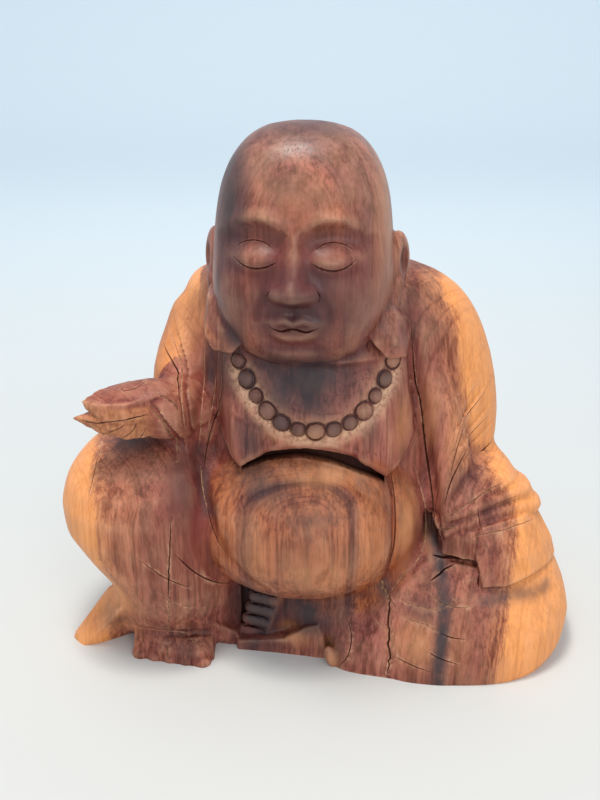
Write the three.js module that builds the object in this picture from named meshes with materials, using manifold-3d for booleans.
// A seated buddha figure carved from one log: bare head, chest and belly, string of beads, open robe,
// one knee raised, the other leg folded flat, and a small boat-shaped ingot on the raised hand.
// Millimetres, +Z up, front towards -Y, origin under the middle of the figure on the surface it stands on.
import * as THREE from 'three';
import { LoftGeometry } from 'three/addons/geometries/LoftGeometry.js';
import { mergeVertices } from 'three/addons/utils/BufferGeometryUtils.js';
import Module from 'manifold-3d';

const wasm = await Module();
wasm.setup();

// Driving dimensions, in millimetres and degrees.
const HEAD = { at: [-5, -23, 181.5], radii: [33, 36, 43], squareness: 2.8, back: 6, turn: -7 };
const BELLY = { at: [-4.5, -18, 65], radii: [54, 45, 42] };
const CHEST = { at: [-1, -13, 120], radii: [46, 40, 50], archRise: 12 };
const BEADS = { count: 13, radius: 3.9, proud: 2.2, centre: -1, halfWidth: 29.5, lowest: 113, highest: 139, bend: 2.6 };
const TOES = { count: 5, standingWidth: 33, restingHeight: 28 };
const CUT = { width: 2.2, depth: 1.8 };
const WOOD = { color: 0x8a4b2c, roughness: 0.5, metalness: 0 };

const radians = THREE.MathUtils.degToRad;

// Closed three.js geometry to solid and back.
function solidOf(geometry) {
  const bare = new THREE.BufferGeometry()
    .setAttribute('position', geometry.attributes.position)
    .setIndex(geometry.index);
  const merged = mergeVertices(bare, 1e-3);
  return new wasm.Manifold(new wasm.Mesh({
    numProp: 3,
    vertProperties: new Float32Array(merged.attributes.position.array),
    triVerts: new Uint32Array(merged.index.array),
  }));
}

function geometryOf(solid) {
  const { numProp, vertProperties, triVerts } = solid.getMesh();
  const count = vertProperties.length / numProp;
  const position = new Float32Array(count * 3);
  for (let i = 0; i < count; i++) {
    position.set(vertProperties.subarray(i * numProp, i * numProp + 3), i * 3);
  }
  return new THREE.BufferGeometry()
    .setAttribute('position', new THREE.BufferAttribute(position, 3))
    .setIndex(new THREE.BufferAttribute(new Uint32Array(triVerts), 1));
}

// A capped skin through rings of points, each ring put in the turn that faces the skin outwards.
function loft(sections) {
  const [first, next] = sections;
  const along = next[0].clone().sub(first[0]);
  const turn = new THREE.Vector3();
  first.forEach((point, i) => {
    turn.add(new THREE.Vector3().crossVectors(point, first[(i + 1) % first.length]));
  });
  const rings = turn.dot(along) < 0 ? sections.map((section) => [...section].reverse()) : sections;
  return solidOf(new LoftGeometry(rings, { capStart: true, capEnd: true }));
}

// An ellipsoid, turned about its own centre by degrees.
function ball(at, radii, { turn = [0, 0, 0], detail = [20, 14] } = {}) {
  const geometry = new THREE.SphereGeometry(1, ...detail)
    .rotateX(Math.PI / 2)
    .scale(...radii)
    .applyMatrix4(new THREE.Matrix4().makeRotationFromEuler(new THREE.Euler(...turn.map(radians))))
    .translate(...at);
  return solidOf(geometry);
}

// A level ring of a rising form: an ellipse whose corners fill out as its power passes 2.
function ring([x, y, z], [a, b], power = 2, segments = 32) {
  const points = [];
  for (let i = 0; i < segments; i++) {
    const angle = i / segments * 2 * Math.PI;
    const c = Math.cos(angle);
    const s = Math.sin(angle);
    points.push(new THREE.Vector3(
      x + a * Math.sign(c) * Math.abs(c) ** (2 / power),
      y + b * Math.sign(s) * Math.abs(s) ** (2 / power),
      z,
    ));
  }
  return points;
}

// A form that rises through level rings: each row is [x, y, z, half width, half depth].
function rising(rows, { power = 2.2, segments = 32, steps = 10 } = {}) {
  const centres = new THREE.CatmullRomCurve3(rows.map(([x, y, z]) => new THREE.Vector3(x, y, z)));
  const halves = new THREE.CatmullRomCurve3(rows.map(([, , , a, b]) => new THREE.Vector3(a, b, 0)));
  const sections = [];
  for (let i = 0; i <= steps; i++) {
    const centre = centres.getPoint(i / steps);
    const half = halves.getPoint(i / steps);
    sections.push(ring(centre.toArray(), [half.x, half.y], power, segments));
  }
  return loft(sections);
}

// A limb through stations of [x, y, z, radius across, radius in height], with round ends or a flat
// start. Its height lies along the given upright, which is never along the limb.
function limb(stations, { steps = 5, segments = 10, upright = [0, 0, 1], flatStart = false } = {}) {
  const line = new THREE.CatmullRomCurve3(stations.map(([x, y, z]) => new THREE.Vector3(x, y, z)));
  const radii = new THREE.CatmullRomCurve3(stations.map(([, , , a, b]) => new THREE.Vector3(a, b, 0)));
  const sections = [];
  const addSection = (t, shift, share) => {
    const along = line.getTangent(t);
    const across = new THREE.Vector3().crossVectors(along, new THREE.Vector3(...upright)).normalize();
    const height = new THREE.Vector3().crossVectors(across, along);
    const radius = radii.getPoint(t);
    const centre = line.getPoint(t).addScaledVector(along, shift * Math.min(radius.x, radius.y));
    sections.push(Array.from({ length: segments }, (_, i) => {
      const angle = i / segments * 2 * Math.PI;
      return centre.clone()
        .addScaledVector(across, radius.x * share * Math.cos(angle))
        .addScaledVector(height, radius.y * share * Math.sin(angle));
    }));
  };
  const closing = [75, 40];
  if (!flatStart) closing.forEach((angle) => addSection(0, -Math.sin(radians(angle)), Math.cos(radians(angle))));
  for (let i = 0; i <= steps; i++) addSection(i / steps, 0, 1);
  closing.reverse().forEach((angle) => addSection(1, Math.sin(radians(angle)), Math.cos(radians(angle))));
  return loft(sections);
}

// A front outline in X and Z, cut right through from y = near to y = far.
function throughCut(shape, near, far) {
  const geometry = new THREE.ExtrudeGeometry(shape, { depth: far - near, bevelEnabled: false, curveSegments: 6 })
    .rotateX(Math.PI / 2)
    .translate(0, far, 0);
  return solidOf(geometry);
}

const join = (...solids) => solids.flat().reduce((whole, piece) => whole.add(piece));

// Where a line of sight from the given side first meets the solid, with the surface's direction there.
const SIDES = {
  front: (a, b) => [new THREE.Vector3(a, -200, b), new THREE.Vector3(0, 1, 0)],
  back: (a, b) => [new THREE.Vector3(a, 200, b), new THREE.Vector3(0, -1, 0)],
  left: (a, b) => [new THREE.Vector3(-200, a, b), new THREE.Vector3(1, 0, 0)],
  right: (a, b) => [new THREE.Vector3(200, a, b), new THREE.Vector3(-1, 0, 0)],
};

function surfaceFinder(solid) {
  const mesh = new THREE.Mesh(geometryOf(solid), new THREE.MeshBasicMaterial({ side: THREE.DoubleSide }));
  return (side, a, b) => {
    const [from, direction] = SIDES[side](a, b);
    const [hit] = new THREE.Raycaster(from, direction).intersectObject(mesh);
    return hit ? { point: hit.point, normal: hit.face.normal.clone() } : null;
  };
}

// A V-tool stroke along points given as seen from one side, shallow at both ends.
function stroke(find, side, points, width, depth, steps = 3) {
  const route = new THREE.CatmullRomCurve3(points.map(([a, b]) => new THREE.Vector3(a, b, 0)));
  const hits = [];
  for (let i = 0; i <= steps; i++) {
    const { x, y } = route.getPoint(i / steps);
    const hit = find(side, x, y);
    if (hit) hits.push(hit);
  }
  const lift = 1.2;
  const sections = hits.map(({ point, normal }, i) => {
    const before = hits[Math.max(i - 1, 0)].point;
    const after = hits[Math.min(i + 1, hits.length - 1)].point;
    const along = after.clone().sub(before).normalize();
    const across = new THREE.Vector3().crossVectors(along, normal).normalize();
    const out = new THREE.Vector3().crossVectors(across, along).normalize();
    const share = Math.max(Math.sqrt(Math.sin(Math.PI * i / (hits.length - 1))), 0.15);
    const half = width / 2 * share;
    const deep = depth * share;
    const top = half * (1 + lift / deep);
    return [
      point.clone().addScaledVector(out, -deep),
      point.clone().addScaledVector(out, lift).addScaledVector(across, top),
      point.clone().addScaledVector(out, lift).addScaledVector(across, -top),
    ];
  });
  return loft(sections);
}

// The robe's mass from the seat to the shoulders, with the rolled edges of its open front.
function robe() {
  const mass = rising([
    [3, 10, 0, 84, 42],
    [3, 10, 25, 83, 43],
    [4, 10, 55, 81, 44],
    [5, 9, 80, 79, 44],
    [3.5, 8, 100, 77, 44],
    [3.2, 8, 115, 74.5, 42],
    [3.5, 7, 130, 69.5, 39],
    [3.7, 5, 145, 62, 35],
    [2.7, 3, 155, 54.5, 30],
    [0.5, 0, 163, 44, 24],
    [-1, -3, 169, 26, 16],
  ], { power: 2.3, segments: 28, steps: 11 });
  const edges = [
    [[38, -18, 152, 9, 8], [48, -24, 122, 10, 8], [54, -27, 96, 10, 8], [55, -34, 76, 8, 7], [52, -40, 66, 3, 4]],
    [[-42, -16, 152, 9, 8], [-50, -24, 122, 9, 7], [-56, -26, 96, 10, 7], [-57, -26, 72, 8, 7]],
  ].map((stations) => limb(stations, { steps: 5, segments: 8, upright: [0, -1, 0] }));
  return join(mass, edges);
}

// The raised leg under its cloth, flaring to a hem on the ground.
function raisedLeg() {
  return rising([
    [-69, -6, 0, 38, 28],
    [-66.5, -8, 6, 35.5, 29],
    [-63.5, -13, 20, 31, 31],
    [-68, -19, 38, 33.5, 36],
    [-75, -21, 64, 34.5, 37],
    [-72, -21, 86, 31, 33],
    [-66, -18, 98, 23, 25],
    [-60, -14, 105, 11, 12],
  ], { power: 2.2, segments: 22, steps: 11 });
}

// The folded leg lying on the ground, with its shin leading to the foot.
function foldedLeg() {
  const thigh = rising([
    [57.5, -12, 0, 47, 50],
    [60.5, -13, 5, 49, 50.5],
    [61.5, -12, 20, 52, 49],
    [59, -10, 38, 48, 44],
    [56, -8, 50, 39, 36],
    [52, -5, 58, 27, 27],
    [48, -3, 64, 12, 13],
  ], { power: 2.7, segments: 24, steps: 8 });
  const shin = limb([[-4, -27, 16, 12, 13], [16, -36, 17, 13, 17], [38, -40, 20, 14, 19]], { steps: 4 });
  return join(thigh, shin);
}

// The drooping chest: a dome cut to a front outline with two low corners and an arch between them.
function chest() {
  const [left, right] = [[-30.5, 98], [27, 91]];
  const outline = new THREE.Shape();
  outline.moveTo(-38, 168);
  outline.lineTo(-40.5, 118);
  outline.quadraticCurveTo(-41, 104, ...left);
  outline.quadraticCurveTo((left[0] + right[0]) / 2, (left[1] + right[1]) / 2 + 2 * CHEST.archRise, ...right);
  outline.quadraticCurveTo(39, 96, 41, 114);
  outline.lineTo(36, 168);
  return ball(CHEST.at, CHEST.radii, { detail: [20, 13] }).intersect(throughCut(outline, -70, 10));
}

// Whole head in its own frame, centre at the origin and face towards -Y, then tilted and set in place.
function head() {
  const skull = new THREE.SphereGeometry(1, 20, 13).rotateX(Math.PI / 2);
  const position = skull.attributes.position;
  const power = HEAD.squareness;
  for (let i = 0; i < position.count; i++) {
    const at = new THREE.Vector3().fromBufferAttribute(position, i);
    const reach = at.toArray().reduce((sum, v) => sum + Math.abs(v) ** power, 0) ** (-1 / power);
    const cheeks = 1 + 0.05 * Math.exp(-(((at.z + 0.4) / 0.4) ** 2)) - 0.03 * Math.max(at.z, 0);
    at.multiplyScalar(reach);
    position.setXYZ(i, at.x * HEAD.radii[0] * cheeks, at.y * HEAD.radii[1], at.z * HEAD.radii[2]);
  }
  const both = (make) => [-1, 1].map(make);
  const sockets = both((side) => ball([side * 13.5, -41, 3.5], [9, 7, 7], { turn: [0, 0, side * 12], detail: [10, 6] }));
  const lids = both((side) => ball([side * 13.5, -31, 1.5], [8, 5, 5], { turn: [0, 0, side * 14], detail: [10, 6] }));
  const brows = both((side) => limb(
    [[side * 4.5, -35, 11.5, 1.6, 1.8], [side * 13.5, -35, 14, 1.8, 2.2], [side * 25, -30, 9, 1.4, 1.6]],
    { steps: 3, segments: 5 },
  ));
  const nose = [
    limb([[0, -33, 9, 4, 4], [0, -37, -4, 4.6, 4.6], [0, -40, -12, 6, 4.6]], { steps: 3, segments: 7, upright: [0, -1, 0] }),
    ...both((side) => ball([side * 6, -36, -13.5], [4, 4.6, 3.8], { detail: [7, 5] })),
  ];
  const lips = [
    limb([[-10, -32, -24, 1.6, 1.2], [0, -34.2, -24.2, 3, 1.9], [10, -32, -24, 1.6, 1.2]], { steps: 4, segments: 6 }),
    limb([[-7.5, -31.5, -27, 1.8, 1.4], [0, -33, -28, 3.2, 2.4], [7.5, -31.5, -27, 1.8, 1.4]], { steps: 4, segments: 6 }),
  ];
  const chin = ball([0, -27, -35], [11, 8.5, 6.5], { detail: [10, 6] });
  const ears = both((side) => join(
    ball([side * 35, 2, -2], [4, 8.5, 12], { turn: [0, 0, side * -25], detail: [8, 7] }).subtract(
      ball([side * 40, 0, 0], [3.5, 4.5, 7], { turn: [0, 0, side * -25], detail: [6, 4] }),
    ),
    limb(
      [[side * 35, 0, -9, 3.4, 4.5], [side * 34.5, -5, -20, 3.4, 4], [side * 33, -11, -30, 4, 5]],
      { steps: 2, segments: 6, upright: [0, -1, 0] },
    ),
  ));
  return solidOf(skull)
    .subtract(join(sockets))
    .add(join(lids, brows, nose, lips, chin, ears))
    .transform(new THREE.Matrix4()
      .makeRotationFromEuler(new THREE.Euler(radians(-HEAD.back), 0, radians(HEAD.turn), 'ZXY'))
      .setPosition(...HEAD.at)
      .toArray());
}

// Broad ends of the long ear lobes, lying on the collar.
function lobes() {
  return [
    ball([30, -38, 149], [8, 7, 9.5], { turn: [0, 14, 15], detail: [10, 7] }),
    ball([-37.5, -35, 150], [8, 7, 9], { turn: [0, -14, -15], detail: [10, 7] }),
  ];
}

// The raised arm: sleeve, open hand and the boat-shaped ingot lying in it.
function raisedArm() {
  const sleeve = limb(
    [[-50, 0, 142, 14, 16], [-55, -12, 124, 15, 17], [-53, -23, 108, 15, 15]],
    { steps: 5, upright: [0, 1, 0] },
  );
  const hand = limb([
    [-56, -29, 108, 11, 8],
    [-72, -38, 109, 12, 6.5],
    [-86, -42, 113, 8, 4],
    [-93, -43, 117, 3.5, 1.4],
  ]);
  const ingot = rising([
    [-72, -36, 110, 10, 8],
    [-75, -38, 117, 15.5, 11.5],
    [-75, -38, 122, 17, 12.5],
    [-73, -37, 127, 13, 10],
    [-71, -36, 131, 5, 4],
  ], { power: 1.75, segments: 14, steps: 6 });
  return [sleeve, hand, ingot];
}

// The lowered arm on the folded knee: the bent forearm's sleeve, and the hanging cuff below it, open
// towards the lap with the hand in its mouth.
function loweredArm() {
  const forearm = limb(
    [[53, -41, 66, 4, 4], [66, -31, 71, 13, 12], [80, -24, 72, 16, 13.5], [87, -18, 71, 12, 11]],
  );
  const cuff = limb(
    [[69, -38, 50, 13, 11], [84, -32, 50.5, 14.5, 12], [95, -25, 50.5, 11, 10.5]],
    { steps: 4, flatStart: true },
  ).subtract(ball([68, -43, 51], [4, 7, 6], { detail: [8, 6] }));
  const hand = limb([[72, -42, 54.5, 4.5, 3.5], [54, -42, 57, 3, 2]], { steps: 2, segments: 8 });
  const flap = limb([[70, -41, 45, 8, 6], [52, -40, 45, 6, 4]], { steps: 2, segments: 8 });
  return [forearm, cuff, hand, flap];
}

// Toes side by side between two ends, each a small ball stretched along the foot.
function toes(from, to, radii) {
  return Array.from({ length: TOES.count }, (_, i) => {
    const at = new THREE.Vector3(...from).lerp(new THREE.Vector3(...to), (i + 0.5) / TOES.count);
    return ball(at.toArray(), radii, { detail: [6, 4] });
  });
}

function feet() {
  const width = TOES.standingWidth;
  const pitch = width / TOES.count;
  const standing = join(
    limb([[-64.5, -24, 8, width * 0.47, 9], [-64.5, -38, 5.5, width * 0.49, 6.5]], { steps: 2 }),
    toes([-64.5 - width / 2, -43.5, 3.5], [-64.5 + width / 2, -43.5, 3.5], [pitch * 0.56, 5.5, 4.5]),
  );
  const rise = TOES.restingHeight / TOES.count;
  const resting = join(
    limb([[-19, -30, 19, 11, 13.5], [6, -29, 17, 12, 13]], { steps: 2 }),
    toes([-27.5, -33, 6], [-22, -33, 6 + TOES.restingHeight], [9, 8, rise * 0.56]),
  );
  return [standing, resting];
}

// The wood left at ground level between the feet.
function ledge() {
  const plan = new THREE.Shape([[-35, -37], [8, -47], [12, 0], [-35, 0]].map((at) => new THREE.Vector2(...at)));
  return solidOf(new THREE.ExtrudeGeometry(plan, { depth: 9.5, bevelEnabled: false }));
}

// The string of flat round beads lying in an arc on the chest.
function beads(find) {
  const { count, radius, proud, centre, halfWidth, lowest, highest, bend } = BEADS;
  const arc = new THREE.CatmullRomCurve3(Array.from({ length: 25 }, (_, i) => {
    const share = i / 12 - 1;
    return new THREE.Vector3(centre + share * halfWidth, 0, lowest + (highest - lowest) * Math.abs(share) ** bend);
  }));
  return arc.getSpacedPoints(count - 1).map(({ x, z }) => {
    const { point, normal } = find('front', x, z);
    const face = new THREE.SphereGeometry(1, 7, 4)
      .scale(radius, radius, proud)
      .applyQuaternion(new THREE.Quaternion().setFromUnitVectors(new THREE.Vector3(0, 0, 1), normal))
      .translate(...point.toArray());
    return solidOf(face);
  });
}

// Knife cuts, each a run of [x, z] on the front; those on the back are seen through from the front too.
const CUTS = {
  raisedSleeve: [[[-62, 143], [-56, 132], [-49, 118]], [[-64, 137], [-55, 129]], [[-62, 125], [-57, 116], [-53, 106]]],
  leftEdge: [[[-45, 140], [-47, 122], [-46, 104]]],
  rightEdge: [[[40, 138], [43, 112], [47, 84], [50, 70]]],
  raisedLeg: [
    [[-69, 58], [-61, 51], [-50, 43]],
    [[-56, 60], [-47, 47], [-37, 33]],
    [[-66, 45], [-60, 39], [-46, 30]],
  ],
  foot: [[[-77, 9], [-65, 10.5], [-51, 9]]],
  loweredSleeve: [[[71, 118], [64, 112], [56, 106]], [[75, 110], [65, 103], [56, 96]], [[76, 100], [67, 95], [58, 91]]],
  shoulder: [[[40, 149], [44, 142], [50, 130]]],
  forearm: [[[56, 69], [66, 75], [79, 80]], [[60, 69], [76, 75], [90, 77]], [[58, 66], [70, 67], [86, 69]]],
  foldedLeg: [
    [[31, 39], [30, 22], [30, 3]],
    [[32, 30], [41, 28], [58, 23]],
    [[36, 12], [50, 7]],
    [[45, 18], [62, 11]],
    [[34, 36], [48, 34], [62, 38]],
  ],
  belly: [[[32, 86], [33, 68], [30, 48]]],
  ingot: [[[-80, 127], [-73, 125.5], [-65, 128]]],
};
const BACK_CUTS = [
  [[-40, 132], [-30, 98], [-28, 60], [-34, 20]],
  [[2, 142], [8, 104], [8, 62], [2, 20]],
  [[38, 132], [44, 98], [44, 60], [50, 20]],
];

function figure() {
  const ground = solidOf(new THREE.BoxGeometry(400, 400, 60).translate(0, 0, -30));
  const forms = join(
    robe(), raisedLeg(), foldedLeg(), ball(BELLY.at, BELLY.radii, { detail: [24, 17] }),
    chest(), lobes(), raisedArm(), loweredArm(), feet(), ledge(), head(),
  ).subtract(ground);
  const find = surfaceFinder(forms);
  const cuts = [
    ...Object.values(CUTS).flat().map((points) => stroke(find, 'front', points, CUT.width, CUT.depth)),
    ...BACK_CUTS.map((points) => stroke(find, 'back', points, 1.6 * CUT.width, CUT.depth, 6)),
  ];
  return forms.add(join(beads(find))).subtract(join(cuts));
}

const geometry = geometryOf(figure());
geometry.computeBoundingBox();
const { min, max } = geometry.boundingBox;
geometry.translate(-(min.x + max.x) / 2, -(min.y + max.y) / 2, -min.z);

const seated = new THREE.Mesh(geometry, new THREE.MeshStandardMaterial(WOOD));
seated.name = 'seated_figure';

const part = new THREE.Group();
part.add(seated);
export default part;
